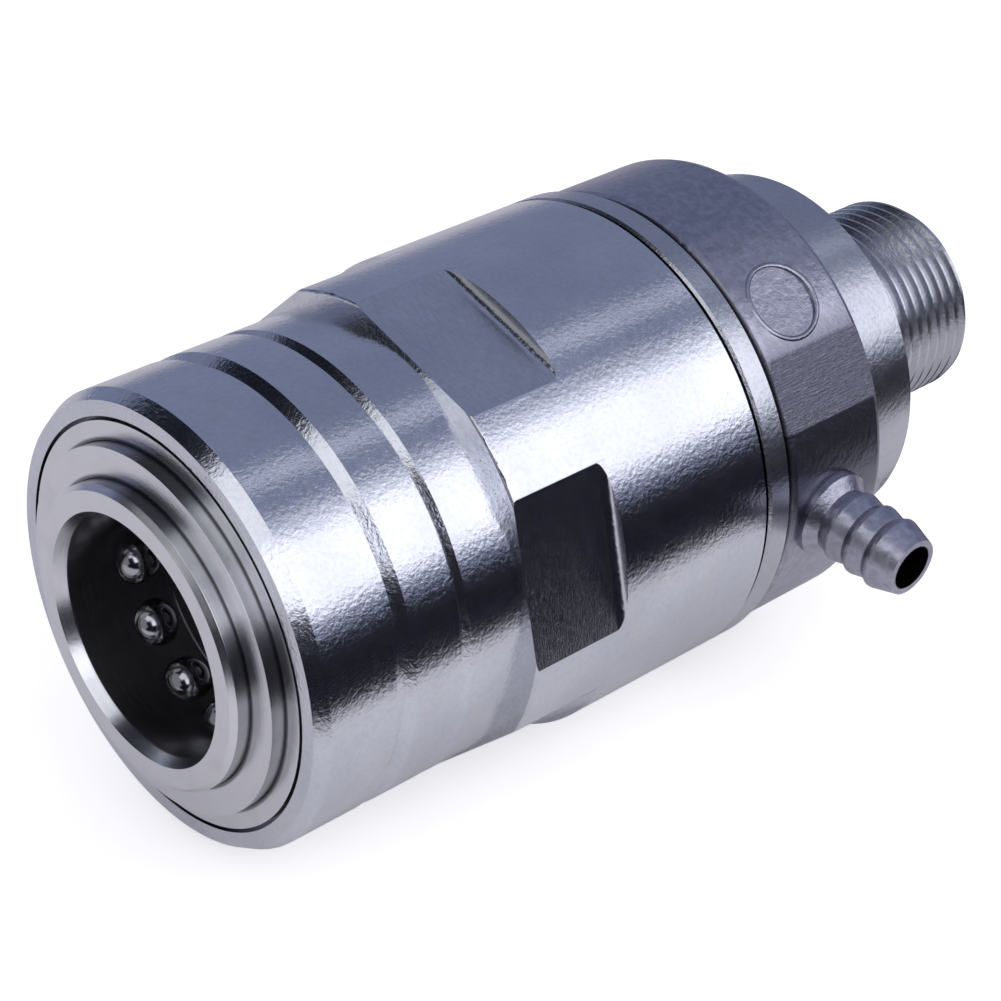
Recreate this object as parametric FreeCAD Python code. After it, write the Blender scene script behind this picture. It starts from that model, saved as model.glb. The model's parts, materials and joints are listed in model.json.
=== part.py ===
import FreeCAD, Part
import math
import os

# Push-pull hydraulic quick coupler, half-inch size, with a swivelling leak-oil ring.
# Millimetres. The axis is X: the mouth looks along -X, the stud along +X, and Z is up.
# The origin is the centre of the ball cage's front face with the coupler at rest.
# An angle is counted about the axis from the top towards the front, which is -Y.

V = FreeCAD.Vector

# Clearances
slide_gap = 0.06          # radial running fit of a turned piece that slides
thread_gap = 0.02         # radial gap that stands for a screwed joint
seal_gap = 0.02           # a seal beside its groove and its bore
seat_gap = 0.05           # axial gap where a sliding piece stops
cut_over = 1.0            # a cutting shape runs this far past the surface it cuts

# Mouth and ball cage
probe_bore_r = 11.95      # takes the probe's collar
mouth_lip = 0.55          # radial size of the lead-in
mouth_lip_length = 1.2
cage_wall = 3.05
cage_edge = 0.5
ball_r = 2.38
ball_count = 12
first_ball_angle = -5.0
ball_x = 9.3              # ball centres behind the cage's face
ball_hole_gap = 0.04
ball_relief_depth = 0.18  # the bore is relieved round the ball holes
ball_relief_margin = 0.4
ball_touch_gap = 0.01     # ball under its locking land
ball_rest_gap = 0.04      # an open ball clears the probe bore by this
cage_travel = 5.0
probe_tip_r = 10.32       # sealed bore for the probe's tip
probe_step_length = 1.0
probe_step_after_balls = 4.3
probe_bore_length = 6.6   # sealed bore, from its step to the valve seat
probe_seal_start = 1.0
probe_seal_width = 2.3
probe_backup_width = 1.0
probe_seal_depth = 2.2
seat_hole_r = 8.0
seat_lip_length = 0.8
seat_cone_length = 1.9         # the valve seat is a cone at 45 degrees
collar_after_balls = 9.0
collar_length = 3.0
collar_height = 2.34
cage_tail = 6.0           # screwed socket for the valve tube
cage_tail_wall = 2.13

# Lock ring
lock_face_back = 1.9      # its face lies this far behind the cage's face
lock_wall = 1.12
recess_length = 2.9
lock_body_step = 0.37
lock_bore_gap = 0.06
lock_flange_length = 2.5
lock_flange_height = 1.95
lock_travel = 4.0
seat_ring_width = 0.9
clip_width = 0.8
clip_depth = 0.5
clip_reach = 1.8

# Retaining bush and front sleeve
sleeve_face_back = 1.5    # behind the lock ring's face
bush_wall = 1.86
bush_front_length = 3.8
bush_rear_length = 4.8
bush_show_gap = 0.4       # the dark ring seen at the mouth
snap_width = 1.2
snap_depth = 0.8
split_gap = 3.0           # opening of a retaining ring
sleeve_wall = 2.3
sleeve_length = 24.0
sleeve_face_chamfer = 1.4
sleeve_face_chamfer_r = 0.8
web_length = 2.0
spring_bore_gap = 0.1
sleeve_thread_length = 8.6
sleeve_thread_wall = 1.1
adapter_back = 10.4       # the adapter's front face, behind the sleeve's tail

# Cap grooves round the sleeve
wide_groove_x = 8.8       # from the sleeve's face
wide_groove_front = 1.4   # long front slope of the groove, then its floor and rear slope
wide_groove_floor = 0.5
wide_groove_rear = 0.4
wide_groove_depth = 0.75
thin_groove_x = 16.3
thin_groove_slope = 0.45
thin_groove_floor = 0.4
thin_groove_depth = 0.6

# Main body
body_step = 1.87          # the body stands this much proud of the sleeve
body_length = 30.35
body_edge = 0.3
flat_count = 6
first_flat_angle = 18.4
flat_across = 46.0
flat_length = 11.1
flat_corner = 1.0
shoulder_depth = 3.9
body_end_groove = 0.6
body_end_groove_depth = 0.75

# Locking collar and leak-oil ring
collar_nut_length = 2.9
collar_wall = 5.9         # also the body's wall over the adapter
collar_edge = 0.25
ring_show_gap = 0.6       # the dark ring between collar and leak-oil ring
ring_hub_height = 2.0
ring_wall = 5.34
ring_length = 13.5
ring_front_round = 1.0
ring_rear_round = 0.8
ring_play = 0.1
channel_margin = 0.15     # the inner channel beside the barb's bore
channel_depth = 2.4
disc_angle = 42.5
disc_r = 4.0
disc_depth = 0.3
disc_x = 5.9              # from the ring's front face
barb_x = 6.15             # from the ring's front face
pad_angle = 63.2
pad_depth = 0.3

# Hose barb on the leak-oil ring
barb_angle = 97.5
barb_length = 10.9
barb_bore_r = 2.35
barb_tip_r = 3.05
barb_tip_length = 2.6
barb_valley_r = 3.45
barb_crest_r = 3.85
barb_ridges = 3
barb_pitch = 2.6
barb_rise = 1.0           # steep side of a ridge, towards the ring
barb_land = 0.3
boss_r = 4.6
boss_height = 1.6
boss_side_height = 0.6
boss_root_gap = 0.5       # the boss starts this far outside the inner channel

# Rear adapter and its stud
adapter_edge = 0.5
adapter_chamber_gap = 0.8  # round the tube's wide part when it is pushed back
adapter_chamber_length = 7.05
flange_height = 0.9
flange_length = 9.95
flange_edge = 0.5
stud_r = 11.0
stud_length = 19.6
stud_relief_length = 2.2
stud_relief_depth = 1.1
stud_chamfer = 0.7
pipe_r = 7.5
cone_length = 5.2
cone_half_angle = 12.0
pipe_seat_length = 7.0
flow_r = 6.0
flow_length = 15.0
flow_cone_length = 4.0
drain_hole_count = 6
drain_hole_r = 1.1
drain_groove_depth = 0.6
drain_groove_width = 3.0
ring_seal_r = 0.78        # section of the leak-oil ring's seals
ring_seal_inset = 2.55    # their middle, from the ring's ends
body_seal_x = 2.65        # middle of the adapter's front seal, from its face
seal_side_gap = 0.3
seal_sides = 8

# Valve
tube_wall = 2.05
tube_edge = 0.3
tube_seal_r = 0.6
tube_seal_x = 2.0
tube_body_length = 12.0
tube_cone_length = 1.5
piston_wall = 3.1
piston_length = 22.5
piston_seal_r = 0.8
piston_seal_back = 6.7    # its middle, from the tube's rear end
valve_travel = 5.0
poppet_nose_r = 6.0
poppet_nose_length = 4.8
poppet_edge = 0.6
poppet_head_length = 2.0
poppet_head_gap = 1.2
poppet_seat_gap = 0.1
poppet_seal_inset = 0.5   # from the start of the cone, along the axis
poppet_seal_width = 0.8
poppet_seal_depth = 1.0
poppet_pilot_length = 1.5
poppet_stem_r = 3.0
poppet_stem_length = 19.7
guide_gap = 0.05          # round the stem, and round the disc in its tube
guide_back = 1.0          # guide's rear face, before the end of the tube's wide part
guide_length = 2.5
guide_step = 1.4          # the shoulder in the tube that the guide rests on
guide_web = 3.8           # between the guide's hub and the tube's narrow bore
guide_hub_front = 1.5
guide_hub_rear = 2.5
guide_hub_taper = 1.0
guide_edge = 0.3
guide_hole_count = 6
guide_hole_margin = 0.3

# Springs, all of flat wire
wire_width = 1.2
valve_wire_width = 0.9
valve_wire_height = 1.7
spring_side_gap = 0.2
valve_spring_turns = 4
cage_spring_turns = 3
lock_spring_turns = 5
coil_inset = 0.1          # the coils are this much narrower than the ground ends, each side

# Stations along the axis
probe_step_x = ball_x + probe_step_after_balls
probe_tip_x = probe_step_x + probe_step_length
seat_lip_x = probe_tip_x + probe_bore_length
seat_x = seat_lip_x + seat_lip_length
seat_end_x = seat_x + seat_cone_length
tube_x = seat_end_x + seat_gap
cage_end_x = tube_x + cage_tail
collar_x = ball_x + collar_after_balls
collar_end_x = collar_x + collar_length
sleeve_x = lock_face_back + sleeve_face_back
body_x = sleeve_x + sleeve_length
shoulder_x = body_x + sleeve_thread_length
body_end_x = body_x + body_length
nut_end_x = body_end_x + collar_nut_length
ring_x = nut_end_x + ring_show_gap
ring_end_x = ring_x + ring_length
flange_x = ring_end_x + ring_play
flange_end_x = flange_x + flange_length
stud_end_x = flange_end_x + stud_length
bush_step_x = sleeve_x + bush_front_length
bush_end_x = bush_step_x + bush_rear_length
web_end_x = bush_end_x + web_length
lock_end_x = shoulder_x - seat_gap
lock_flange_x = lock_end_x - lock_flange_length
adapter_x = shoulder_x + adapter_back
chamber_end_x = adapter_x + adapter_chamber_length
drain_x = ring_x + barb_x

# Radii
cage_r = probe_bore_r + cage_wall
land_r = cage_r + slide_gap
tube_r = cage_r - cage_tail_wall - thread_gap
tube_bore_r = tube_r - tube_wall
socket_r = tube_r + thread_gap
piston_bore_r = tube_bore_r - guide_step
guide_hub_r = piston_bore_r - guide_web
guide_hole_r = guide_web / 2 - guide_hole_margin
piston_r = piston_bore_r + piston_wall
piston_hole_r = piston_r + slide_gap
chamber_r = cage_r + adapter_chamber_gap
ball_in_r = land_r - ball_touch_gap - ball_r
ball_out_r = probe_bore_r + ball_r + ball_rest_gap
ramp_slope = (ball_out_r - ball_in_r) / cage_travel
ramp_offset = ball_r * math.sqrt(1 + ramp_slope ** 2) + ball_touch_gap
ramp_x = ball_x - (ball_in_r + ramp_offset - land_r) / ramp_slope
recess_x = ball_x + cage_travel
recess_r = ball_out_r + ramp_offset
collar_r = cage_r + collar_height
lock_bore_r = collar_r + lock_bore_gap
lock_r = recess_r + lock_wall
lock_body_r = lock_r + lock_body_step
lock_flange_r = lock_body_r + lock_flange_height
bush_bore_r = lock_r + slide_gap
bush_r = bush_bore_r + bush_wall
sleeve_bore_r = bush_r + bush_show_gap
sleeve_r = sleeve_bore_r + sleeve_wall
spring_bore_r = lock_flange_r + spring_bore_gap
thread_r = spring_bore_r + sleeve_thread_wall
body_r = sleeve_r + body_step
body_bore_r = thread_r - shoulder_depth
adapter_r = body_r - collar_wall
flange_r = adapter_r + flange_height
ring_bore_r = adapter_r + slide_gap
ring_r = ring_bore_r + ring_wall


def turned(profile):
    """A solid turned about the X axis from points (x, radius)."""
    points = [V(x, 0, r) for x, r in profile]
    face = Part.Face(Part.makePolygon(points + points[:1]))
    return face.revolve(V(0, 0, 0), V(1, 0, 0), 360)


def tube(start, end, inner, outer):
    return turned([(start, inner), (end, inner), (end, outer), (start, outer)])


def turn_about_axis(shape, angle):
    """Turn a shape made at the top to its angle, towards the front."""
    shape.rotate(V(0, 0, 0), V(1, 0, 0), angle)
    return shape


def radial_rod(x, inner, outer, radius, angle):
    rod = Part.makeCylinder(radius, outer - inner, V(x, 0, inner))
    return turn_about_axis(rod, angle)


def rounded_edge(x, r, size, side):
    """Points of a rounded outer edge, from its face: side is 1 at a front face, -1 at a rear."""
    turns = [math.radians(angle) for angle in (0, 30, 60, 90)]
    return [(x + side * size * (1 - math.cos(turn)), r - size * (1 - math.sin(turn)))
            for turn in turns]


def seal(x, inner, section_r):
    """An O-ring, its round section drawn with eight sides."""
    corner_r = section_r / math.cos(math.pi / seal_sides)
    turns = [math.pi * (2 * side + 1) / seal_sides for side in range(seal_sides)]
    middle = inner + section_r
    return turned([(x + corner_r * math.cos(turn), middle + corner_r * math.sin(turn))
                   for turn in turns])


def seal_groove(x, bottom, outer, section_r):
    half = section_r + seal_side_gap
    return tube(x - half, x + half, bottom, outer)


def coil_spring(start, end, inner, outer, wire, turns):
    """A flat-wire spring with closed, ground end coils."""
    length = end - start
    rise = (length - 2 * wire) / turns
    middle = (inner + outer) / 2
    path = Part.makeHelix(rise, length - 2 * wire, middle)
    path.rotate(V(0, 0, 0), V(0, 1, 0), 90)
    path.translate(V(start + wire, 0, 0))
    first = path.Edges[0].valueAt(path.Edges[0].FirstParameter)
    out = V(0, first.y, first.z).normalize() * ((outer - inner) / 2 - coil_inset)
    along = V(wire / 2, 0, 0)
    corners = [first - out - along, first + out - along, first + out + along, first - out + along]
    wire_section = Part.makePolygon(corners + corners[:1])
    coil = Part.Wire(path.Edges).makePipeShell([wire_section], True, True)
    ends = [tube(start, start + wire, inner, outer), tube(end - wire, end, inner, outer)]
    return coil.fuse(ends)


def save(name, shape):
    shape.exportStep(os.path.join("parts", name + ".step"))


def front_sleeve():
    """The outer sleeve at the mouth, with two cap grooves and a screwed tail."""
    wide = sleeve_x + wide_groove_x
    wide_floor = wide + wide_groove_front
    wide_rise = wide_floor + wide_groove_floor
    thin = sleeve_x + thin_groove_x
    thin_floor = thin + thin_groove_slope
    thin_rise = thin_floor + thin_groove_floor
    outline = [
        (sleeve_x, sleeve_bore_r),
        (sleeve_x, sleeve_r - sleeve_face_chamfer_r),
        (sleeve_x + sleeve_face_chamfer, sleeve_r),
        (wide, sleeve_r),
        (wide_floor, sleeve_r - wide_groove_depth),
        (wide_rise, sleeve_r - wide_groove_depth),
        (wide_rise + wide_groove_rear, sleeve_r),
        (thin, sleeve_r),
        (thin_floor, sleeve_r - thin_groove_depth),
        (thin_rise, sleeve_r - thin_groove_depth),
        (thin_rise + thin_groove_slope, sleeve_r),
        (body_x, sleeve_r),
        (body_x, thread_r),
        (shoulder_x, thread_r),
        (shoulder_x, spring_bore_r),
        (web_end_x, spring_bore_r),
        (web_end_x, lock_r + 2 * slide_gap),
        (bush_end_x, lock_r + 2 * slide_gap),
        (bush_end_x, sleeve_bore_r),
    ]
    snap = tube(bush_step_x - snap_width - seal_gap, bush_step_x, sleeve_bore_r,
                sleeve_bore_r + snap_depth)
    return turned(outline).cut(snap)


def bush():
    """The bush that guides the lock ring, held behind a snap ring."""
    return turned([
        (sleeve_x, bush_bore_r), (sleeve_x, bush_r),
        (bush_step_x, bush_r), (bush_step_x, sleeve_bore_r - thread_gap),
        (bush_end_x, sleeve_bore_r - thread_gap), (bush_end_x, bush_bore_r),
    ])


def snap_ring():
    return split_ring(bush_step_x - snap_width, snap_width, bush_r + thread_gap,
                      sleeve_bore_r + snap_depth - seal_gap, 180)


def split_ring(x, width, inner, outer, angle):
    """A retaining ring with an opening at an angle from the top."""
    gap = Part.makeBox(2 * width, split_gap, outer + cut_over, V(x - width / 2, -split_gap / 2, 0))
    return tube(x, x + width, inner, outer).cut(turn_about_axis(gap, angle))


def main_body():
    """The wrench body: six flats, open at their front end, and a groove at the rear."""
    groove_x = body_end_x - body_end_groove
    groove_r = body_r - body_end_groove_depth
    body = turned([
        (body_x, thread_r + thread_gap), (body_x, body_r), (groove_x, body_r),
        (groove_x, groove_r), (body_end_x, groove_r),
        (body_end_x, adapter_r + thread_gap), (adapter_x, adapter_r + thread_gap),
        (adapter_x, body_bore_r), (shoulder_x, body_bore_r), (shoulder_x, thread_r + thread_gap),
    ])
    front_edge = [edge for edge in body.Edges
                  if edge.CenterOfMass.x < body_x + body_edge and edge.Length > 2 * math.pi * sleeve_r]
    body = body.makeFillet(body_edge, front_edge)
    for index in range(flat_count):
        body = body.cut(turn_about_axis(flat_cut(), first_flat_angle + 360 / flat_count * index))
    return body


def flat_cut():
    """What the cutter takes away for one flat, at the top of the body."""
    height = flat_across / 2
    end = body_x + flat_length
    corner = V(end - flat_corner, 0, height + flat_corner)
    low = V(end - flat_corner, 0, height)
    high = V(end, 0, height + flat_corner)
    slope = V(math.sqrt(0.5), 0, -math.sqrt(0.5)) * flat_corner
    top_z = body_r + cut_over
    start = body_x - cut_over
    edges = [
        Part.makeLine(V(start, 0, height), low),
        Part.Arc(low, corner + slope, high).toShape(),
        Part.makeLine(high, V(end, 0, top_z)),
        Part.makeLine(V(end, 0, top_z), V(start, 0, top_z)),
        Part.makeLine(V(start, 0, top_z), V(start, 0, height)),
    ]
    face = Part.Face(Part.Wire(edges))
    face.translate(V(0, -body_r, 0))
    return face.extrude(V(0, 2 * body_r, 0))


def collar_nut():
    return turned([
        (body_end_x, adapter_r + thread_gap), (body_end_x, body_r - collar_edge),
        (body_end_x + collar_edge, body_r), (nut_end_x - collar_edge, body_r),
        (nut_end_x, body_r - collar_edge), (nut_end_x, adapter_r + thread_gap),
    ])


def drain_ring():
    """The cast ring with its inner channel, cast disc, sawn gate pad and hose barb."""
    hub_r = ring_bore_r + ring_hub_height
    hub_x = nut_end_x + seat_gap
    outline = rounded_edge(ring_x, ring_r, ring_front_round, 1)
    outline += reversed(rounded_edge(ring_end_x, ring_r, ring_rear_round, -1))
    outline += [(ring_end_x, ring_bore_r), (hub_x, ring_bore_r), (hub_x, hub_r), (ring_x, hub_r)]
    ring = turned(outline).fuse(turn_about_axis(barb(), barb_angle))
    half = barb_bore_r + channel_margin
    channel = tube(drain_x - half, drain_x + half, ring_bore_r - cut_over,
                   ring_bore_r + channel_depth)
    tip = ring_r + barb_length + cut_over
    bore = radial_rod(drain_x, ring_bore_r, tip, barb_bore_r, barb_angle)
    disc = radial_rod(ring_x + disc_x, ring_r - disc_depth, ring_r + cut_over, disc_r, disc_angle)
    pad_r = ring_r - pad_depth
    pad_half = math.sqrt(ring_r ** 2 - pad_r ** 2) + cut_over
    pad = Part.makeBox(ring_length + 2 * cut_over, 2 * pad_half, pad_depth + cut_over,
                       V(ring_x - cut_over, -pad_half, pad_r))
    return ring.cut([channel, bore, disc, turn_about_axis(pad, pad_angle)])


def barb():
    """The hose barb and its boss, made upright at the top of the ring."""
    root = ring_bore_r + channel_depth + boss_root_gap
    tip = ring_r + barb_length
    outline = [(0, root), (boss_r, root), (boss_r, ring_r + boss_side_height),
               (barb_valley_r, ring_r + boss_height)]
    for index in reversed(range(barb_ridges)):
        crest = tip - barb_tip_length - index * barb_pitch
        outline.append((barb_valley_r, crest - barb_rise))
        outline.append((barb_crest_r, crest - barb_land))
        outline.append((barb_crest_r, crest))
    outline += [(barb_tip_r, tip), (0, tip)]
    points = [V(drain_x + r, 0, z) for r, z in outline]
    face = Part.Face(Part.makePolygon(points + points[:1]))
    return face.revolve(V(drain_x, 0, 0), V(0, 0, 1), 360)


def rear_adapter():
    """The rear adapter: screwed nose, ring journal, flange and cone stud."""
    relief_r = stud_r - stud_relief_depth
    cone_r = pipe_r + cone_length * math.tan(math.radians(cone_half_angle))
    seat_bottom_x = stud_end_x - cone_length - pipe_seat_length
    flow_x = seat_bottom_x - flow_length - flow_cone_length
    body = turned([
        (adapter_x, chamber_r), (adapter_x, adapter_r - adapter_edge),
        (adapter_x + adapter_edge, adapter_r), (flange_x, adapter_r),
        (flange_x, flange_r), (flange_end_x - flange_edge, flange_r),
        (flange_end_x, flange_r - flange_edge), (flange_end_x, relief_r),
        (flange_end_x + stud_relief_length - stud_relief_depth, relief_r),
        (flange_end_x + stud_relief_length, stud_r),
        (stud_end_x - stud_chamfer, stud_r), (stud_end_x, stud_r - stud_chamfer),
        (stud_end_x, cone_r), (stud_end_x - cone_length, pipe_r),
        (seat_bottom_x, pipe_r), (seat_bottom_x, flow_r),
        (flow_x + flow_cone_length, flow_r), (flow_x, piston_hole_r),
        (chamber_end_x, piston_hole_r), (chamber_end_x, chamber_r),
    ])
    cuts = [seal_groove(x, bottom_r, adapter_r, section)
            for x, bottom_r, section in adapter_seals()]
    half = drain_groove_width / 2
    cuts.append(tube(drain_x - half, drain_x + half, adapter_r - drain_groove_depth,
                     adapter_r))
    middle_r = (piston_hole_r + chamber_r) / 2
    for index in range(drain_hole_count):
        angle = 360 / drain_hole_count * index
        length = drain_x + drain_hole_r - chamber_end_x
        bore = Part.makeCylinder(drain_hole_r, length, V(chamber_end_x, 0, middle_r), V(1, 0, 0))
        cuts.append(turn_about_axis(bore, angle))
        cuts.append(radial_rod(drain_x, middle_r, adapter_r, drain_hole_r, angle))
    return body.cut(cuts)


def adapter_seals():
    """Places, groove bottoms and sections of the three seals round the adapter."""
    bottom = ring_bore_r - 2 * ring_seal_r - 2 * seal_gap
    body_bottom = adapter_r + thread_gap - 2 * ring_seal_r - 2 * seal_gap
    return [
        (adapter_x + body_seal_x, body_bottom, ring_seal_r),
        (ring_x + ring_seal_inset, bottom, ring_seal_r),
        (ring_end_x - ring_seal_inset, bottom, ring_seal_r),
    ]


def lock_ring():
    """The ring whose land holds the balls in, with a ramp, a recess and a spring flange."""
    step_x = web_end_x + lock_travel + 2 * seat_gap
    ring = turned([
        (lock_face_back, land_r), (lock_face_back, lock_r),
        (step_x, lock_r), (step_x, lock_body_r),
        (lock_flange_x, lock_body_r), (lock_flange_x, lock_flange_r),
        (lock_end_x, lock_flange_r), (lock_end_x, lock_bore_r),
        (collar_x, lock_bore_r), (collar_x, recess_r),
        (recess_x, recess_r), (ramp_x, land_r),
    ])
    clip_x = lock_end_x - clip_width - seat_gap
    return ring.cut(tube(clip_x, clip_x + clip_width, lock_bore_r, lock_bore_r + clip_depth))


def spring_seat():
    end = lock_end_x - clip_width - seat_gap
    return tube(end - seat_ring_width, end, cage_r + spring_side_gap,
                lock_bore_r - spring_bore_gap)


def seat_clip():
    start = lock_end_x - clip_width - seat_gap
    return split_ring(start, clip_width, lock_bore_r - clip_reach + clip_depth,
                      lock_bore_r + clip_depth, 180)


def ball_cage():
    """The ball cage and probe socket, with the valve seat and a collar as its stop."""
    probe_seal_x = probe_tip_x + probe_seal_start
    cage = turned([
        (0, probe_bore_r + mouth_lip), (0, cage_r - cage_edge), (cage_edge, cage_r),
        (collar_x, cage_r), (collar_x, collar_r), (collar_end_x, collar_r),
        (collar_end_x, cage_r), (cage_end_x, cage_r), (cage_end_x, socket_r),
        (tube_x - seat_gap, socket_r), (seat_end_x, seat_hole_r + seat_cone_length),
        (seat_x, seat_hole_r), (seat_lip_x, seat_hole_r), (seat_lip_x, probe_tip_r),
        (probe_tip_x, probe_tip_r), (probe_step_x, probe_bore_r),
        (mouth_lip_length, probe_bore_r),
    ])
    seal_end = probe_seal_x + probe_seal_width + probe_backup_width
    hole_r = ball_r + ball_hole_gap
    relief = hole_r + ball_relief_margin
    cuts = [
        tube(probe_seal_x, seal_end, probe_tip_r, probe_tip_r + probe_seal_depth),
        tube(ball_x - relief, ball_x + relief, probe_bore_r, probe_bore_r + ball_relief_depth),
    ]
    for index in range(ball_count):
        angle = first_ball_angle + 360 / ball_count * index
        cuts.append(radial_rod(ball_x, ball_in_r, cage_r + cut_over, hole_r, angle))
        seat = Part.makeSphere(hole_r, V(ball_x, 0, ball_in_r))
        cuts.append(turn_about_axis(seat, angle))
    return cage.cut(cuts)


def ball(index):
    return turn_about_axis(Part.makeSphere(ball_r, V(ball_x, 0, ball_in_r)),
                           first_ball_angle + 360 / ball_count * index)


def probe_seal():
    x = probe_tip_x + probe_seal_start + probe_seal_width / 2
    section = (probe_seal_depth - 2 * seal_gap) / 2
    return seal(x, probe_tip_r + seal_gap, section)


def probe_backup():
    start = probe_tip_x + probe_seal_start + probe_seal_width
    return tube(start + seal_gap, start + probe_backup_width - seal_gap, probe_tip_r + seal_gap,
                probe_tip_r + probe_seal_depth - seal_gap)


def valve_tube():
    """The tube behind the cage: it holds the valve and slides in the adapter."""
    wide_end_x = cage_end_x + tube_body_length
    piston_x = wide_end_x + tube_cone_length
    end_x = piston_x + piston_length
    guide_end_x = wide_end_x - guide_back
    body = turned([
        (tube_x, tube_bore_r), (tube_x, tube_r - tube_edge),
        (tube_x + tube_edge, tube_r), (cage_end_x, tube_r),
        (cage_end_x, cage_r), (wide_end_x, cage_r), (piston_x, piston_r),
        (end_x, piston_r), (end_x, piston_bore_r), (guide_end_x, piston_bore_r),
        (guide_end_x, tube_bore_r),
    ])
    front_seal = seal_groove(tube_x + tube_seal_x, tube_groove_r(), tube_r, tube_seal_r)
    rear_seal = seal_groove(end_x - piston_seal_back, piston_groove_r(), piston_r, piston_seal_r)
    return body.cut([front_seal, rear_seal])


def tube_groove_r():
    return socket_r - 2 * tube_seal_r - 2 * seal_gap


def piston_groove_r():
    return piston_hole_r - 2 * piston_seal_r - 2 * seal_gap


def tube_seal():
    return seal(tube_x + tube_seal_x, tube_groove_r() + seal_gap, tube_seal_r)


def piston_seal():
    end_x = cage_end_x + tube_body_length + tube_cone_length + piston_length
    return seal(end_x - piston_seal_back, piston_groove_r() + seal_gap, piston_seal_r)


def valve_guide():
    """The drilled disc that guides the valve's stem and carries its spring."""
    end = cage_end_x + tube_body_length - guide_back
    start = end - guide_length
    bore_r = poppet_stem_r + guide_gap
    guide = turned([
        (start - guide_hub_front, bore_r), (start - guide_hub_front, guide_hub_r - guide_edge),
        (start - guide_hub_front + guide_edge, guide_hub_r), (start, guide_hub_r),
        (start, tube_bore_r - guide_gap), (end, tube_bore_r - guide_gap),
        (end, guide_hub_r), (end + guide_hub_rear, guide_hub_r - guide_hub_taper),
        (end + guide_hub_rear, bore_r),
    ])
    middle = (guide_hub_r + piston_bore_r) / 2
    holes = []
    for index in range(guide_hole_count):
        hole = Part.makeCylinder(guide_hole_r, guide_length + 2 * cut_over,
                                 V(start - cut_over, 0, middle), V(1, 0, 0))
        holes.append(turn_about_axis(hole, 360 / guide_hole_count * index))
    return guide.cut(holes)


def poppet_cone_x():
    """Start of the poppet's cone, which lies inside the seat's cone."""
    return seat_x + poppet_seat_gap


def poppet():
    """The valve poppet with its stem; its cone closes against the cage's seat."""
    start = poppet_cone_x()
    cone_r = seat_hole_r - poppet_seat_gap
    head_r = tube_bore_r - poppet_head_gap
    cone_end = start + head_r - cone_r
    head_end = cone_end + poppet_head_length
    nose_x = start - poppet_nose_length
    body = turned([
        (nose_x, 0), (nose_x, poppet_nose_r - poppet_edge), (nose_x + poppet_edge, poppet_nose_r),
        (start - cone_r + poppet_nose_r, poppet_nose_r), (start, cone_r), (cone_end, head_r),
        (head_end, head_r), (head_end, guide_hub_r), (head_end + poppet_pilot_length, guide_hub_r),
        (head_end + poppet_pilot_length, poppet_stem_r),
        (head_end + poppet_stem_length, poppet_stem_r), (head_end + poppet_stem_length, 0),
    ])
    return body.cut(turned(poppet_seal_section(0)))


def poppet_seal_section(gap):
    """The rubber ring let into the poppet's cone, less a gap all round."""
    start = poppet_cone_x() + poppet_seal_inset
    cone_r = seat_hole_r - poppet_seat_gap + poppet_seal_inset
    bottom = cone_r - poppet_seal_depth + gap
    return [
        (start + gap, bottom), (start + gap, cone_r + gap),
        (start + poppet_seal_width - gap, cone_r + poppet_seal_width - gap),
        (start + poppet_seal_width - gap, bottom),
    ]


def poppet_seal():
    return turned(poppet_seal_section(seal_gap))


def poppet_spring():
    head_r = tube_bore_r - poppet_head_gap
    start = poppet_cone_x() + head_r - seat_hole_r + poppet_seat_gap + poppet_head_length
    end = cage_end_x + tube_body_length - guide_back - guide_length
    inner = guide_hub_r + spring_side_gap
    return coil_spring(start, end, inner, inner + valve_wire_height, valve_wire_width,
                       valve_spring_turns)


def cage_spring():
    end = lock_end_x - clip_width - seat_gap - seat_ring_width
    return coil_spring(collar_end_x, end, cage_r + spring_side_gap, lock_bore_r - spring_side_gap,
                       wire_width, cage_spring_turns)


def lock_spring():
    return coil_spring(web_end_x, lock_flange_x, lock_body_r + spring_side_gap,
                       spring_bore_r - spring_side_gap, wire_width, lock_spring_turns)


os.makedirs("parts", exist_ok=True)
save("front_sleeve", front_sleeve())
save("guide_bush", bush())
save("bush_snap_ring", snap_ring())
save("main_body", main_body())
save("collar_nut", collar_nut())
save("drain_ring", drain_ring())
save("rear_adapter", rear_adapter())
for seal_name, (seal_x, seal_bottom, seal_section) in zip(
        ("adapter_seal", "drain_seal_front", "drain_seal_rear"), adapter_seals()):
    save(seal_name, seal(seal_x, seal_bottom + seal_gap, seal_section))
save("lock_ring", lock_ring())
save("spring_seat", spring_seat())
save("seat_clip", seat_clip())
save("lock_spring", lock_spring())
save("ball_cage", ball_cage())
for number in range(ball_count):
    save("ball_%02d" % (number + 1), ball(number))
save("probe_seal", probe_seal())
save("probe_backup_ring", probe_backup())
save("cage_spring", cage_spring())
save("valve_tube", valve_tube())
save("tube_seal", tube_seal())
save("piston_seal", piston_seal())
save("valve_guide", valve_guide())
save("poppet", poppet())
save("poppet_seal", poppet_seal())
save("poppet_spring", poppet_spring())
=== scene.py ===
import json
import math

import bpy
from mathutils import Matrix, Vector


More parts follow.
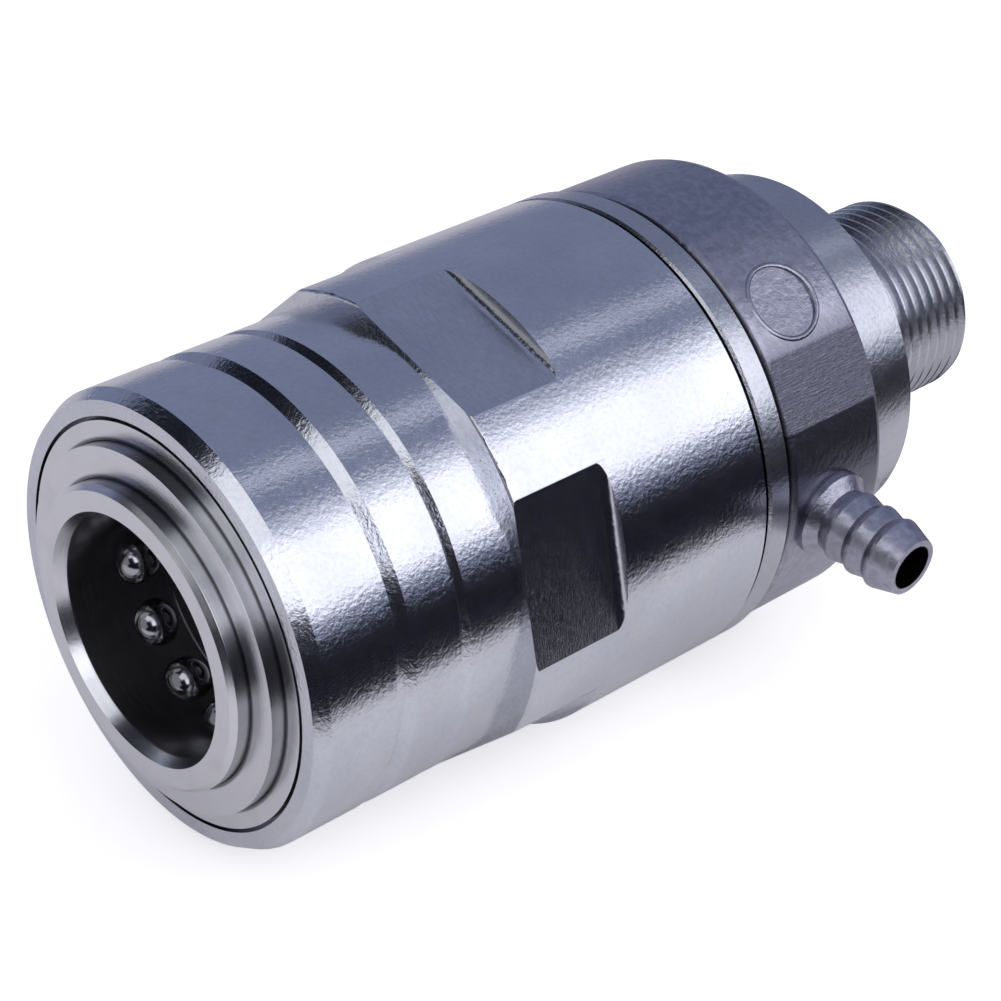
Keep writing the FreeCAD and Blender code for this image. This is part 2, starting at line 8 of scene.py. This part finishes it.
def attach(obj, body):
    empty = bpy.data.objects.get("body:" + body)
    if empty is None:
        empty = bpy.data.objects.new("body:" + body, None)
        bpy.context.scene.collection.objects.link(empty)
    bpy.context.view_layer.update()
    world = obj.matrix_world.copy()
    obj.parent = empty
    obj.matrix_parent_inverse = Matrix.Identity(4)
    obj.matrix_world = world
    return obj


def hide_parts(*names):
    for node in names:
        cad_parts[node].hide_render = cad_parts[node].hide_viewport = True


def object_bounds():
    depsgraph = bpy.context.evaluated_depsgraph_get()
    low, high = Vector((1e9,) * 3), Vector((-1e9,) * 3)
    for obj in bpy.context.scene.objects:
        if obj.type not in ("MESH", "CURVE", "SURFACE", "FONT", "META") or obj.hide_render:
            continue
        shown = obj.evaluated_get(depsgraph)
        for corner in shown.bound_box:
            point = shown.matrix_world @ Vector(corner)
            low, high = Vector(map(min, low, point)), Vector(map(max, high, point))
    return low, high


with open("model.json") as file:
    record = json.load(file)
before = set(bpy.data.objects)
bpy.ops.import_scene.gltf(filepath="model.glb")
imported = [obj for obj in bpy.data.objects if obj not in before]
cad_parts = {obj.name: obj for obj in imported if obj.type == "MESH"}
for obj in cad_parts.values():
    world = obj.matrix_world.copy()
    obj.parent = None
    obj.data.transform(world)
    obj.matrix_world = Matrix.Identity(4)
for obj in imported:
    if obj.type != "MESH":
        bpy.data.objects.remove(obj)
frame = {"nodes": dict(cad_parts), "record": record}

cad_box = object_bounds()
nodes = frame["nodes"]

# Sizes from the frame: metres, and degrees from the top towards the front
AXIS = Vector((1, 0, 0))
FLOOR_Z = cad_box[0][2]
STUD_END = 0.1044
STUD_R = 0.0110
THREAD_PITCH = 0.0015
THREAD_DEPTH = 0.00080
THREAD_START = 0.0866
THREAD_ROOT_R = STUD_R - THREAD_DEPTH
STUD_CHAMFER = 0.0007
BALL_R = 0.00238
BALL_COUNT = 12
DISC_X = 0.06715
DISC_ANGLE = 42.5
DISC_R = 0.0040
DISC_BEAD_R = 0.00034
DISC_BEAD_RISE = 0.00014
RING_R = 0.0240
BARB_ANGLE = 97.5
FLAT_STEP = 60.0
FLAT_ANGLE = 18.4
SLEEVE_SKIN_R = 0.0217
# The sleeve's corners at the cap grooves: place along the axis in the frame, and here
GROOVE_CORNERS = ((0.0136, 0.0124), (0.0141, 0.01345), (0.02015, 0.0198), (0.02055, 0.0203))

# Places for the finishes and for painted shade, in millimetres
MILLIMETRES = (1000, 1000, 1000)
BODY_GROOVE = (57.05, 57.15, 57.75, 57.8)
FLAT_PLANE = (22.93, 22.98, 23.02, 23.07)
FLAT_END = 38.7
CAGE_WALL = (14.9, 14.97, 15.02, 15.04)
CAGE_ROOT = (15.03, 15.05, 15.2, 15.5)
LOCK_WALL = (17.9, 17.98, 18.03, 18.05)
LOCK_ROOT = (18.04, 18.06, 18.2, 18.5)
BARB_X = 67.4

# Studio
PAPER_TOP = FLOOR_Z + 0.0004
BLACK = (0.012, 0.013, 0.02, 1)
ARC_R = 0.29
CAMERA_PLACE = (-0.1082, -0.1692, 0.1342)
CAMERA_FORWARD = (0.5744, 0.6354, -0.5162)
CAMERA_RIGHT = (0.7418, -0.6706, 0.0)
CAMERA_LENS = 95.43


# Shader maths

class Value:
    """A socket in a material; sums written on it add the Math nodes."""

    def __init__(self, finish, socket):
        self.finish = finish
        self.socket = socket

    def math(self, operation, first, second):
        return self.finish.node("Math", {"operation": operation}, {0: first, 1: second})

    def __add__(self, other):
        return self.math("ADD", self, other)

    def __radd__(self, other):
        return self.math("ADD", other, self)

    def __sub__(self, other):
        return self.math("SUBTRACT", self, other)

    def __rsub__(self, other):
        return self.math("SUBTRACT", other, self)

    def __mul__(self, other):
        return self.math("MULTIPLY", self, other)

    def __rmul__(self, other):
        return self.math("MULTIPLY", other, self)

    def __pow__(self, other):
        return self.math("POWER", self, other)

    def __gt__(self, other):
        return self.math("GREATER_THAN", self, other)

    def __lt__(self, other):
        return self.math("LESS_THAN", self, other)


class Finish:
    """A material in the making."""

    def __init__(self, name):
        self.material = bpy.data.materials.new(name)
        self.material.use_nodes = True
        self.tree = self.material.node_tree
        self.shader = self.tree.nodes["Principled BSDF"]

    def node(self, kind, settings=None, values=None, output=0):
        made = self.tree.nodes.new("ShaderNode" + kind)
        for name, setting in (settings or {}).items():
            setattr(made, name, setting)
        for name, value in (values or {}).items():
            if isinstance(value, Value):
                self.tree.links.new(value.socket, made.inputs[name])
            else:
                made.inputs[name].default_value = value
        return Value(self, made.outputs[output])

    def set(self, **values):
        """Sockets of the main shader, by name with _ for a space."""
        for name, value in values.items():
            socket = self.shader.inputs[name.replace("_", " ")]
            if isinstance(value, Value):
                self.tree.links.new(value.socket, socket)
            else:
                socket.default_value = value

    def place(self, scale=MILLIMETRES):
        """The place on the piece, scaled."""
        where = self.node("TexCoord", output="Object")
        return self.node("Mapping", {}, {"Vector": where, "Scale": scale})

    def noise(self, vector, scale, detail=2.0, roughness=0.5, distortion=0.0):
        return self.node("TexNoise", {}, {"Vector": vector, "Scale": scale, "Detail": detail,
                                          "Roughness": roughness, "Distortion": distortion},
                         "Fac")

    def smooth(self, value, low, high):
        """0 below low and 1 above high, with a soft step between."""
        return self.node("MapRange", {"interpolation_type": "SMOOTHSTEP"},
                         {"Value": value, "From Min": low, "From Max": high})

    def within(self, value, rise, full, fade, gone):
        """1 between full and fade, and 0 below rise and above gone."""
        return self.smooth(value, rise, full) * (1.0 - self.smooth(value, fade, gone))

    def mix(self, share, first, second):
        return self.node("Mix", {"data_type": "RGBA"}, {0: share, 6: first, 7: second}, 2)

    def bump(self, height, distance, strength=1.0, normal=None):
        values = {"Height": height, "Distance": distance, "Strength": strength}
        if normal is not None:
            values["Normal"] = normal
        return self.node("Bump", {}, values)

    def split(self, vector):
        """The x, y and z of a vector."""
        made = self.tree.nodes.new("ShaderNodeSeparateXYZ")
        self.tree.links.new(vector.socket, made.inputs[0])
        return [Value(self, output) for output in made.outputs]

    def join(self, x, y, z):
        return self.node("CombineXYZ", {}, {0: x, 1: y, 2: z})

    def axis_radius(self):
        """Distance along the coupler's axis and out from it, in millimetres."""
        x, y, z = self.split(self.place())
        return x, (y * y + z * z) ** 0.5

    def angle(self, y, z):
        """Degrees about the axis from the top towards the front."""
        turn = self.node("Math", {"operation": "ARCTAN2"}, {0: y * -1.0, 1: z})
        return turn * (180 / math.pi)

    def lathe_marks(self, count):
        """Fine rings from turning, the same on faces and on cylinders."""
        x, radius = self.axis_radius()
        rings = self.join(x * count, radius * count, 0.0)
        return self.noise(rings, 1.0, 3.0, 0.6)


def plated_steel(name="zinc_plated_steel", tone=1.0, dull=0.0, flats=False):
    """Bright zinc plating, faintly blue, with a leathery skin, a few nicks and painted shade
    in the body's groove.
    """
    finish = Finish(name)
    place = finish.place()
    clouds = finish.noise(place, 0.11, 3.0, 0.55)
    stain = finish.smooth(finish.noise(place, 0.35, 4.0, 0.6, 0.5), 0.52, 0.8)

    def shade(red, green, blue):
        return (red * tone, green * tone, blue * tone, 1)

    base = finish.mix(finish.smooth(clouds, 0.35, 0.7), shade(0.66, 0.67, 0.72),
                      shade(0.74, 0.75, 0.79))
    base = finish.mix(stain * 0.35, base, shade(0.68, 0.69, 0.65))
    grain = finish.noise(place, 2.1, 3.0, 0.62)
    swell = finish.noise(place, 0.55, 2.0, 0.5)
    spots = finish.node("TexVoronoi", {"feature": "F1"}, {"Vector": place, "Scale": 0.42},
                        "Distance")
    nick = 1.0 - finish.smooth(spots, 0.02, 0.06)
    x, radius = finish.axis_radius()
    # Painted shade: the body's groove, below its outer skin, is painted near black.
    groove = finish.within(x, *BODY_GROOVE)
    groove = groove * (1.0 - finish.smooth(radius, 24.1, 24.3))
    base = finish.mix(groove * 0.92, base, (0.03, 0.032, 0.04, 1))
    leather = 1.0
    if flats:
        y, z = finish.split(place)[1:]
        turn = finish.angle(y, z) + (FLAT_STEP * 4.5 - FLAT_ANGLE)
        turn = finish.node("Math", {"operation": "MODULO"}, {0: turn, 1: FLAT_STEP})
        turn = turn - FLAT_STEP / 2
        turn = turn * (math.pi / 180)
        depth = radius * finish.node("Math", {"operation": "COSINE"}, {0: turn})
        across = radius * finish.node("Math", {"operation": "SINE"}, {0: turn})
        milled = finish.within(depth, *FLAT_PLANE) * (x < FLAT_END)
        cutter = finish.noise(finish.join(x * 7.0, across * 0.7, 0.0), 1.0, 4.0, 0.7)
        base = finish.mix(milled * finish.smooth(cutter, 0.35, 0.7) * 0.4, base,
                          shade(0.42, 0.43, 0.47))
        leather = 1.0 - milled * 0.75
    pits = finish.smooth(grain, 0.62, 0.3)
    base = finish.mix(pits * 0.14, base, shade(0.30, 0.31, 0.35))
    marks = finish.lathe_marks(9.0)
    rough = (0.12 + dull) + finish.noise(place, 0.6, 4.0, 0.6) * 0.07 + marks * 0.03
    if flats:
        rough = rough + milled * 0.02
    normal = finish.bump(grain * leather, 0.000043, 0.8)
    normal = finish.bump(swell * leather, 0.00003, 0.5, normal)
    normal = finish.bump(marks, 0.000005, 0.5, normal)
    normal = finish.bump(nick * -1.0, 0.00002, 0.6, normal)
    if flats:
        normal = finish.bump(cutter * milled, 0.00004, 0.8, normal)
    finish.set(Base_Color=base, Metallic=1.0, Roughness=rough, Normal=normal)
    return finish.material


def turned_steel():
    """Pale turned steel with fine lathe rings, and painted shade in the bore, on the step
    walls and at the walls' roots.
    """
    finish = Finish("turned_bare_steel")
    place = finish.place()
    marks = finish.lathe_marks(7.0)
    fine = finish.lathe_marks(24.0)
    cloud = finish.noise(place, 0.3, 3.0, 0.6)
    base = finish.mix(marks, (0.70, 0.70, 0.72, 1), (0.80, 0.80, 0.81, 1))
    base = finish.mix(finish.smooth(cloud, 0.45, 0.75) * 0.5, base, (0.64, 0.64, 0.65, 1))
    x, radius = finish.axis_radius()
    # Painted shade: the cage's bore is painted dark inside, where the shade falls.
    bore = (1.0 - finish.smooth(radius, 12.15, 12.3)) * finish.smooth(x, 1.0, 1.5)
    base = finish.mix(bore, base, (0.30, 0.30, 0.31, 1))
    # Painted shade: the cylinder walls of the cage and the lock ring, between the stepped
    # faces, are darkened with a mottle.
    cage_wall = finish.within(radius, *CAGE_WALL)
    lock_wall = finish.within(radius, *LOCK_WALL)
    wall_shade = cage_wall * finish.smooth(x, 0.5, 0.6) + lock_wall * finish.smooth(x, 1.91, 2.0)
    base = finish.mix(wall_shade * (0.45 + cloud * 0.5), base, (0.34, 0.34, 0.36, 1))
    # Painted shade: near-black rings on the faces at the foot of the cage and lock-ring walls,
    # in the shaded gaps between the rings.
    root = finish.within(radius, *CAGE_ROOT) * (x > 1.8)
    root = root + finish.within(radius, *LOCK_ROOT) * (x > 3.3)
    base = finish.mix(root * 0.85, base, (0.06, 0.06, 0.07, 1))
    rough = 0.14 + marks * 0.09 + cloud * 0.07
    normal = finish.bump(fine, 0.00001, 0.55)
    normal = finish.bump(marks, 0.00002, 0.35, normal)
    normal = finish.bump(finish.noise(place, 1.4, 3.0, 0.6), 0.00002, 0.35, normal)
    finish.set(Base_Color=base, Metallic=1.0, Roughness=rough, Normal=normal)
    return finish.material


def cast_aluminium():
    """Dull die-cast aluminium, with saw marks where the gate was cut off, and painted shade on
    its front side, in the gap at the ring's front and in the barb's hole.
    """
    finish = Finish("die_cast_aluminium")
    place = finish.place()
    x, y, z = finish.split(place)
    angle = finish.angle(y, z)
    pad = finish.within(angle, 53.6, 54.6, 72.0, 73.0)
    skin = finish.noise(place, 1.1, 4.0, 0.62)
    grain = finish.noise(place, 5.5, 2.0, 0.5)
    saw = finish.noise(finish.join(x * 0.35, angle * 1.3, 0.0), 1.6, 5.0, 0.75, 0.3)
    radius = (y * y + z * z) ** 0.5
    base = finish.mix(finish.smooth(skin, 0.3, 0.72), (0.36, 0.36, 0.42, 1),
                      (0.50, 0.49, 0.57, 1))
    # Painted shade: the ring's front side, 47 to 106 degrees from the top, is darkened with a
    # mottle; real fine grain specks are added all round.
    shade_and_grain = finish.within(angle, 47.0, 56.0, 94.0, 106.0)
    shade_and_grain = shade_and_grain * (0.38 + skin * 0.5) * (1.0 - finish.smooth(radius, 24.1, 24.5))
    shade_and_grain = shade_and_grain + finish.smooth(grain, 0.45, 0.8) * 0.2
    base = finish.mix(shade_and_grain, base, (0.10, 0.10, 0.13, 1))
    base = finish.mix(pad * finish.smooth(saw, 0.5, 0.72) * 0.4, base, (0.62, 0.60, 0.72, 1))
    # Painted shade: the gap at the drain ring's front is painted near black.
    gap = (1.0 - finish.smooth(x, 61.45, 61.85)) * (1.0 - finish.smooth(radius, 23.75, 24.0))
    # Painted shade: the inside of the barb's hole is painted near black.
    turn = math.radians(BARB_ANGLE)
    aside = y * math.cos(turn) + z * math.sin(turn)
    around = ((x - BARB_X) * (x - BARB_X) + aside * aside) ** 0.5
    hole = (1.0 - finish.smooth(around, 2.37, 2.45)) * finish.smooth(radius, 20.0, 21.0)
    base = finish.mix(gap + hole * 0.93, base, (0.02, 0.02, 0.025, 1))
    rough = 0.26 + skin * 0.1 + pad * (0.12 - saw * 0.2)
    normal = finish.bump(skin, 0.00012, 0.6)
    normal = finish.bump(grain, 0.00002, 0.5, normal)
    normal = finish.bump(saw * pad, 0.0001, 0.7, normal)
    finish.set(Base_Color=base, Metallic=1.0, Roughness=rough, Normal=normal)
    return finish.material


def plain_finish(name, grain, dark, pale, metallic, rough, spread, depth, strength):
    """One even stuff with a faint haze; dark and pale are its two colours."""
    finish = Finish(name)
    place = finish.place()
    haze = finish.noise(place, grain, 3.0, 0.6)
    base = finish.mix(haze, (*dark, 1), (*pale, 1))
    finish.set(Base_Color=base, Metallic=metallic, Roughness=rough + haze * spread,
               Normal=finish.bump(haze, depth, strength))
    return finish.material


FINISHES = {
    "zinc_steel": plated_steel(),
    "turned_steel": turned_steel(),
    "spring_steel": plain_finish("dark_spring_steel", 0.9, (0.28, 0.28, 0.30),
                                 (0.40, 0.40, 0.42), 1.0, 0.28, 0.15, 0.00004, 0.4),
    "ball_steel": plain_finish("polished_ball_steel", 1.2, (0.40, 0.40, 0.42),
                               (0.50, 0.50, 0.52), 1.0, 0.09, 0.09, 0.00002, 0.3),
    "cast_aluminium": cast_aluminium(),
    "black_rubber": plain_finish("black_nitrile_rubber", 1.5, (0.012, 0.012, 0.014),
                                 (0.03, 0.03, 0.033), 0.0, 0.42, 0.15, 0.00003, 0.4),
    "white_plastic": plain_finish("white_ptfe", 1.0, (0.72, 0.71, 0.66),
                                  (0.82, 0.81, 0.77), 0.0, 0.45, 0.1, 0.00002, 0.3),
}
rear_plating = plated_steel("rear_zinc_plating", 0.82, 0.08)
body_plating = plated_steel("body_zinc_plating", flats=True)
SLOTS = {entry["node"]: entry["material_slot"] for entry in frame["record"]["subparts"]}

OWN_FINISHES = {"main_body": body_plating, "collar_nut": rear_plating}

for name, node in nodes.items():
    finish = OWN_FINISHES.get(name, FINISHES[SLOTS[name]])
    for slot in node.material_slots:
        slot.material = finish


# New pieces

def select_only(piece):
    bpy.ops.object.select_all(action="DESELECT")
    piece.select_set(True)
    bpy.context.view_layer.objects.active = piece


def use_modifier(piece, kind, **settings):
    select_only(piece)
    modifier = piece.modifiers.new(kind.lower(), kind)
    for name, value in settings.items():
        setattr(modifier, name, value)
    bpy.ops.object.modifier_apply(modifier=modifier.name)


def free_copy(name, new_name):
    """A copy of a frame piece whose corners can be moved."""
    select_only(nodes[name])
    bpy.ops.object.duplicate()
    piece = bpy.context.active_object
    piece.name = new_name
    bpy.ops.object.mode_set(mode="EDIT")
    bpy.ops.mesh.select_all(action="SELECT")
    bpy.ops.mesh.customdata_custom_splitnormals_clear()
    bpy.ops.mesh.remove_doubles(threshold=1e-6)
    bpy.ops.object.mode_set(mode="OBJECT")
    return piece


def shade_copy(piece, angle, round_from=None):
    """Smooth faces below an angle; outside a radius, the true round surface's normals."""
    select_only(piece)
    bpy.ops.object.shade_smooth_by_angle(angle=math.radians(angle))
    if round_from is None:
        return
    mesh = piece.data
    normals = [Vector(corner.vector) for corner in mesh.corner_normals]
    for face in mesh.polygons:
        corners = [mesh.vertices[index].co for index in face.vertices]
        if min(math.hypot(corner.y, corner.z) for corner in corners) < round_from:
            continue
        along = face.normal.x
        out = math.sqrt(max(0.0, 1 - along * along))
        for loop in face.loop_indices:
            corner = mesh.vertices[mesh.loops[loop].vertex_index].co
            radius = math.hypot(corner.y, corner.z)
            normals[loop] = Vector((along, out * corner.y / radius, out * corner.z / radius))
    mesh.normals_split_custom_set(normals)


def dress(piece, finish, name):
    """Give a copy its finish, and let it stand for its frame piece."""
    piece.data.materials.clear()
    piece.data.materials.append(finish)
    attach(piece, "housing")
    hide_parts(name)


def grooved_sleeve():
    """The front sleeve with steep front walls and long rear slopes in its cap grooves."""
    piece = free_copy("front_sleeve", "grooved_sleeve")
    for vertex in piece.data.vertices:
        if math.hypot(vertex.co.y, vertex.co.z) > SLEEVE_SKIN_R:
            for old, new in GROOVE_CORNERS:
                if abs(vertex.co.x - old) < 1e-5:
                    vertex.co.x = new
                    break
    shade_copy(piece, 30, SLEEVE_SKIN_R)
    return piece


def threaded_adapter():
    """The rear adapter with its stud turned down to the thread's root."""
    piece = free_copy("rear_adapter", "threaded_adapter")
    for vertex in piece.data.vertices:
        x, y, z = vertex.co
        radius = math.hypot(y, z)
        if x > THREAD_START - 0.0005 and radius > THREAD_ROOT_R + 1e-5:
            share = THREAD_ROOT_R / radius
            vertex.co = (x, y * share, z * share)
    shade_copy(piece, 30)
    return piece


def stud_thread():
    """One helical ridge with a flat crest, run out under the end's chamfer."""
    bpy.ops.object.select_all(action="DESELECT")
    bpy.ops.mesh.primitive_circle_add(vertices=6, radius=0.0005, location=(0, 0, 0))
    piece = bpy.context.active_object
    piece.name = "stud_thread"
    half_root = THREAD_PITCH * 0.49
    half_crest = THREAD_PITCH * 0.10
    start = THREAD_START - THREAD_PITCH
    sunk = THREAD_ROOT_R - 0.0002
    last = STUD_END - 0.00002
    profile = [
        (-half_root, sunk), (-half_root, THREAD_ROOT_R), (-half_crest, STUD_R),
        (half_crest, STUD_R), (half_root, THREAD_ROOT_R), (half_root, sunk),
    ]
    for vertex, (x, r) in zip(piece.data.vertices, profile):
        vertex.co = (start + x, 0, r)
    turns = math.ceil((STUD_END - THREAD_START) / THREAD_PITCH) + 2
    use_modifier(piece, "SCREW", axis="X", angle=2 * math.pi * turns,
                 screw_offset=THREAD_PITCH * turns, steps=96 * turns, render_steps=96 * turns,
                 use_smooth_shade=True, use_merge_vertices=False)
    bpy.ops.object.mode_set(mode="EDIT")
    bpy.ops.mesh.select_all(action="SELECT")
    bpy.ops.mesh.edge_face_add()
    bpy.ops.mesh.normals_make_consistent(inside=False)
    bpy.ops.object.mode_set(mode="OBJECT")
    for vertex in piece.data.vertices:
        x, y, z = vertex.co
        radius = math.hypot(y, z)
        rise = max(0.0, (x - THREAD_START) * 0.9)
        fall = max(0.0, STUD_END - x)
        limit = min(STUD_R, THREAD_ROOT_R + rise, STUD_R - STUD_CHAMFER + fall)
        limit = max(limit, sunk)
        if radius > limit:
            vertex.co = (x, y * limit / radius, z * limit / radius)
        if vertex.co.x < THREAD_START:
            vertex.co.x = THREAD_START
        if vertex.co.x > last:
            vertex.co.x = last
    select_only(piece)
    bpy.ops.object.shade_smooth_by_angle(angle=math.radians(25))
    return piece


def round_ball(number):
    """A smooth ball in the place of the one that the frame holds."""
    node = nodes["ball_%02d" % number]
    corners = [node.matrix_world @ Vector(corner) for corner in node.bound_box]
    middle = sum(corners, Vector()) / 8
    bpy.ops.object.select_all(action="DESELECT")
    bpy.ops.mesh.primitive_ico_sphere_add(subdivisions=5, radius=BALL_R, location=(0, 0, 0))
    piece = bpy.context.active_object
    piece.name = "smooth_ball_%02d" % number
    for vertex in piece.data.vertices:
        vertex.co = vertex.co + middle
    select_only(piece)
    bpy.ops.object.shade_smooth()
    piece.data.materials.append(FINISHES["ball_steel"])
    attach(piece, "ball_%02d_body" % number)
    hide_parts("ball_%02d" % number)


def disc_rim():
    """The low bead cast round the sunk disc, bent to the ring's curve."""
    bpy.ops.object.select_all(action="DESELECT")
    bpy.ops.mesh.primitive_torus_add(major_segments=96, minor_segments=16, major_radius=DISC_R,
                                     minor_radius=DISC_BEAD_R, location=(0, 0, 0))
    piece = bpy.context.active_object
    piece.name = "cast_disc_rim"
    turn = math.radians(DISC_ANGLE)
    for vertex in piece.data.vertices:
        along, aside, up = vertex.co
        surface = math.sqrt(RING_R ** 2 - aside ** 2) - DISC_BEAD_R + DISC_BEAD_RISE + up
        vertex.co = (DISC_X + along, aside * math.cos(turn) - surface * math.sin(turn),
                     aside * math.sin(turn) + surface * math.cos(turn))
    select_only(piece)
    bpy.ops.object.shade_smooth()
    piece.data.materials.append(FINISHES["cast_aluminium"])
    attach(piece, "drain")


disc_rim()

for number in range(1, BALL_COUNT + 1):
    round_ball(number)

dress(grooved_sleeve(), FINISHES["zinc_steel"], "front_sleeve")
dress(threaded_adapter(), rear_plating, "rear_adapter")

thread = stud_thread()
thread.data.materials.clear()
thread.data.materials.append(rear_plating)
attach(thread, "housing")


# Floor, light and camera

def studio_floor():
    """Pale paper: white to the camera, with a soft shadow left in it."""
    bpy.ops.object.select_all(action="DESELECT")
    bpy.ops.mesh.primitive_plane_add(size=6.0, location=(0.05, 0, FLOOR_Z))
    floor = bpy.context.active_object
    floor.name = "floor"
    finish = Finish("pale_paper")
    fibre = finish.noise(finish.place((1, 1, 1)), 30.0, 3.0)
    seen = finish.node("LightPath", output="Is Camera Ray")
    finish.set(Base_Color=finish.mix(fibre, (0.77, 0.77, 0.77, 1), (0.81, 0.81, 0.81, 1)),
               Roughness=0.9, Specular_IOR_Level=0.1)
    glow = finish.node("Emission", {}, {"Color": (1, 1, 1, 1), "Strength": seen * 0.55})
    both = finish.node("AddShader", {}, {0: Value(finish, finish.shader.outputs[0]), 1: glow})
    output = finish.tree.nodes["Material Output"]
    finish.tree.links.new(both.socket, output.inputs["Surface"])
    floor.data.materials.append(finish.material)


def studio_card(name, rows, glow=0.0, colour=(0.93, 0.95, 1.0, 1)):
    """A card seen only in the metal, bent along rows of two points each."""
    bpy.ops.object.select_all(action="DESELECT")
    bpy.ops.mesh.primitive_grid_add(x_subdivisions=1, y_subdivisions=len(rows) - 1, size=1.0,
                                    location=(0, 0, 0))
    card = bpy.context.active_object
    card.name = name
    for vertex in card.data.vertices:
        row = rows[round((vertex.co.y + 0.5) * (len(rows) - 1))]
        vertex.co = row[0] if vertex.co.x < 0 else row[1]
    finish = Finish(name)
    finish.set(Base_Color=BLACK, Roughness=0.9, Specular_IOR_Level=0.0, Emission_Color=colour,
               Emission_Strength=glow)
    card.data.materials.append(finish.material)
    card.visible_camera = False
    card.visible_diffuse = False
    card.visible_shadow = False
    card.visible_transmission = False


def arc_rows(left, right, low, high):
    """Rows of a card bent about the coupler, between two angles above the front."""
    angles = [math.radians(low + (high - low) * step / 4) for step in range(5)]
    return [[(x, -math.cos(angle) * ARC_R, math.sin(angle) * ARC_R) for x in (left, right)]
            for angle in angles]


def soft_panel(name, height_angle, distance, x, length, width, glow, colour=(1, 1, 1)):
    """A panel along the coupler, at an angle above the floor's plane towards the front."""
    data = bpy.data.lights.new(name, "AREA")
    data.shape = "RECTANGLE"
    data.size = length
    data.size_y = width
    data.energy = glow * math.pi * length * width
    data.color = colour
    lamp = bpy.data.objects.new(name, data)
    bpy.context.scene.collection.objects.link(lamp)
    out = Vector((0, -math.cos(height_angle), math.sin(height_angle)))
    across = AXIS.cross(out)
    turn = Matrix((AXIS, across * -1, out)).transposed()
    if turn.determinant() < 0:
        turn = Matrix((AXIS, across, out)).transposed()
    lamp.matrix_world = Matrix.Translation(out * distance + AXIS * x) @ turn.to_4x4()


studio_floor()
studio_card("front_card", [[(x, y, z) for x in (-0.3, 0.6)] for y, z in
                           ((-0.058, PAPER_TOP), (-0.105, PAPER_TOP), (-0.105, 0.014))])
studio_card("front_left_card",
            [[(x, -0.1055, z) for x in (-0.3, -0.030)] for z in (0.0, 0.040)])
# A black card on the floor around and beyond the stud's end, seen only in the metal: a painted
# shadow of the stud on the floor.
studio_card("stud_shadow_card",
            [[(x, y, PAPER_TOP) for x in (0.0975, 0.25)] for y in (-0.0165, 0.06)])
studio_card("left_dark_card", arc_rows(-0.50, -0.235, 4, 62))
studio_card("top_dark_card", arc_rows(-0.21, -0.02, 95, 150))
studio_card("left_glow_card", arc_rows(-0.32, -0.07, 54, 93), 1.15)
studio_card("left_card", [[(-0.52, y, z) for y in (-0.3, 0.6)] for z in (0.0, 0.60)], 0.33)
soft_panel("key_softbox", math.radians(33), 0.30, 0.115, 0.67, 0.205, 1.28, (0.98, 0.97, 1))
soft_panel("key_skirt", math.radians(56.5), 0.30, 0.14, 0.62, 0.046, 0.52, (0.95, 0.96, 1))
soft_panel("top_strip", math.radians(81), 0.40, 0.30, 0.60, 0.026, 0.9, (0.92, 0.96, 1))

world = bpy.data.worlds.new("studio")
bpy.context.scene.world = world
world.use_nodes = True
tree = world.node_tree
for node in list(tree.nodes):
    tree.nodes.remove(node)


def world_node(kind, values=None, **settings):
    node = tree.nodes.new("ShaderNode" + kind)
    for name, setting in settings.items():
        setattr(node, name, setting)
    for name, value in (values or {}).items():
        if hasattr(value, "is_output"):
            tree.links.new(value, node.inputs[name])
        else:
            node.inputs[name].default_value = value
    return node


path = world_node("LightPath").outputs
room = world_node("Background", {"Color": (0.59, 0.67, 1.0, 1), "Strength": 0.36}).outputs[0]
fill = world_node("Background", {"Color": (0.93, 0.92, 1.05, 1), "Strength": 0.68}).outputs[0]
white = world_node("Background", {"Color": (1, 1, 1, 1), "Strength": 1.0}).outputs[0]
around = world_node("MixShader", {0: path["Is Glossy Ray"], 1: fill, 2: room}).outputs[0]
whole = world_node("MixShader", {0: path["Is Camera Ray"], 1: around, 2: white}).outputs[0]
world_node("OutputWorld", {"Surface": whole})

camera_data = bpy.data.cameras.new("camera")
camera_data.lens = CAMERA_LENS
camera_data.sensor_width = 36
camera_data.clip_start = 0.01
camera = bpy.data.objects.new("camera", camera_data)
bpy.context.scene.collection.objects.link(camera)
right = Vector(CAMERA_RIGHT).normalized()
forward = Vector(CAMERA_FORWARD).normalized()
up = right.cross(forward)
turn = Matrix((right, up, -forward)).transposed()
camera.matrix_world = Matrix.Translation(CAMERA_PLACE) @ turn.to_4x4()
bpy.context.scene.camera = camera
bpy.context.scene.view_settings.view_transform = "Standard"
